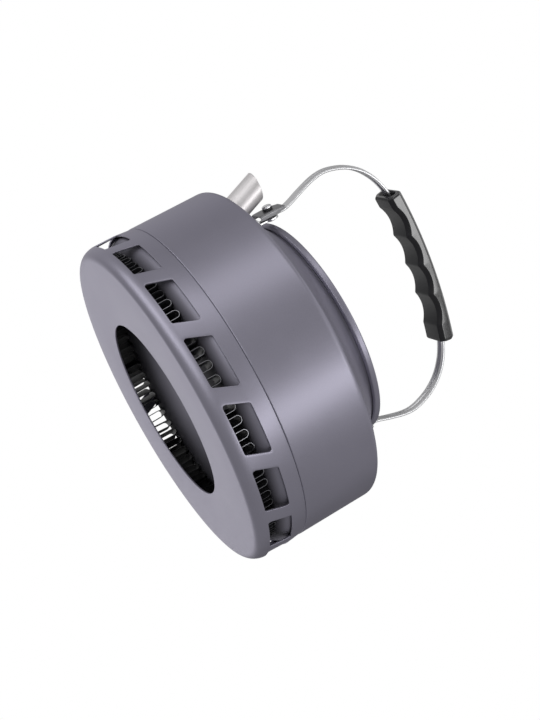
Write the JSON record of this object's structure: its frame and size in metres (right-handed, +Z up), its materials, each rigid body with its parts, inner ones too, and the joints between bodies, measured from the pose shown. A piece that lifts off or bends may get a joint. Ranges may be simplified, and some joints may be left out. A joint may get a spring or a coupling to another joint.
{
  "type": "camping kettle",
  "caption": "Wide camping kettle with a finned heat exchanger base, slanted air windows, short tube spout, lift-off lid and folding strip bail with a moulded grip.",
  "frame": {"origin": "centre of the base ring's underside, on the surface the kettle stands on", "axes": "+Z up along the kettle's axis, +X towards the spout, the bail stands in the XZ plane and folds about an axis along X"},
  "size_m": [0.1862, 0.1862, 0.1742],
  "materials": {
    "hard_anodised_aluminium": "satin hard anodised grey",
    "bare_aluminium": "bare brazed fin stock",
    "stainless_steel": "brushed and polished",
    "black_plastic": "glossy moulded"
  },
  "bodies": {
    "kettle": {"kettle_body": "hard_anodised_aluminium", "heat_exchanger_skirt": "hard_anodised_aluminium", "heat_exchanger_fins": "bare_aluminium", "spout_tube": "stainless_steel", "front_ear": "stainless_steel", "front_ear_rivet_left": "stainless_steel", "front_ear_rivet_right": "stainless_steel", "rear_ear": "stainless_steel", "rear_ear_rivet_left": "stainless_steel", "rear_ear_rivet_right": "stainless_steel"},
    "lid": {"lid_shell": "hard_anodised_aluminium", "lid_knob": "black_plastic", "knob_washer": "stainless_steel", "knob_screw": "stainless_steel"},
    "bail": {"bail_strip": "stainless_steel", "grip": "black_plastic", "front_clasp": "stainless_steel", "front_hinge_pin": "stainless_steel", "front_spacer": "stainless_steel", "front_head_washer": "black_plastic", "rear_clasp": "stainless_steel", "rear_hinge_pin": "stainless_steel", "rear_spacer": "stainless_steel", "rear_head_washer": "black_plastic"}
  },
  "joints": [
    {"name": "lid_lift", "type": "slide", "parent": "kettle", "child": "lid", "axis": [0, 0, 1], "range_m": [0, 0.045]},
    {"name": "bail_fold", "type": "hinge", "parent": "kettle", "child": "bail", "pos_m": [0, 0, 0.0963], "axis": [1, 0, 0], "range_deg": [-88, 82]}
  ]
}
